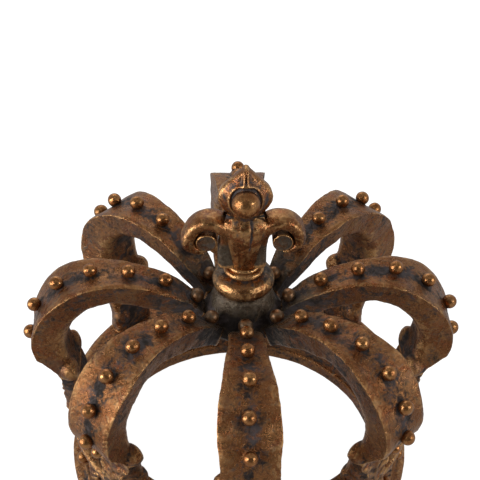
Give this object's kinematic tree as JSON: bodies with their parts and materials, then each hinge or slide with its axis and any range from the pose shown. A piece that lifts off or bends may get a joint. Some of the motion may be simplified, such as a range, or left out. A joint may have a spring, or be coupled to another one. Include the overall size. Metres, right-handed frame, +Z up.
{
  "type": "crown",
  "caption": "Open arched display crown: beaded straps spring from a footed circlet and dip to a hub that carries a fleur-de-lis finial.",
  "frame": {"origin": "centre of the ring that the crown stands on, at the height of the surface it rests on", "axes": "+Z up through the finial, the front arch towards -Y, +X to the right seen from the front"},
  "size_m": [0.2566, 0.2566, 0.2215],
  "materials": {
    "aged_bronze": "antique bronze patina with gold rubbed on the edges",
    "polished_bronze": "polished copper gold",
    "zinc_steel": "plain zinc"
  },
  "bodies": {
    "root": {"circlet_band": "aged_bronze", "lower_rim": "aged_bronze", "upper_rim": "aged_bronze", "band_beads": "polished_bronze", "band_leaves": "aged_bronze", "arch_front": "aged_bronze", "foot_front": "aged_bronze", "arch_beads_front": "polished_bronze", "arch_front_right": "aged_bronze", "foot_front_right": "aged_bronze", "arch_beads_front_right": "polished_bronze", "arch_right": "aged_bronze", "foot_right": "aged_bronze", "arch_beads_right": "polished_bronze", "arch_back_right": "aged_bronze", "foot_back_right": "aged_bronze", "arch_beads_back_right": "polished_bronze", "arch_back": "aged_bronze", "foot_back": "aged_bronze", "arch_beads_back": "polished_bronze", "arch_back_left": "aged_bronze", "foot_back_left": "aged_bronze", "arch_beads_back_left": "polished_bronze", "arch_left": "aged_bronze", "foot_left": "aged_bronze", "arch_beads_left": "polished_bronze", "arch_front_left": "aged_bronze", "foot_front_left": "aged_bronze", "arch_beads_front_left": "polished_bronze", "heel_beads": "polished_bronze", "hub": "aged_bronze", "hub_washer": "zinc_steel", "hub_nut": "zinc_steel", "finial_stud": "zinc_steel", "collar_lower": "aged_bronze", "collar_middle": "aged_bronze", "collar_upper": "aged_bronze", "finial_stem": "aged_bronze", "petal_front": "aged_bronze", "petal_back": "aged_bronze", "scroll_left": "aged_bronze", "scroll_right": "aged_bronze", "bud": "aged_bronze", "pearls": "polished_bronze"}
  },
  "joints": []
}
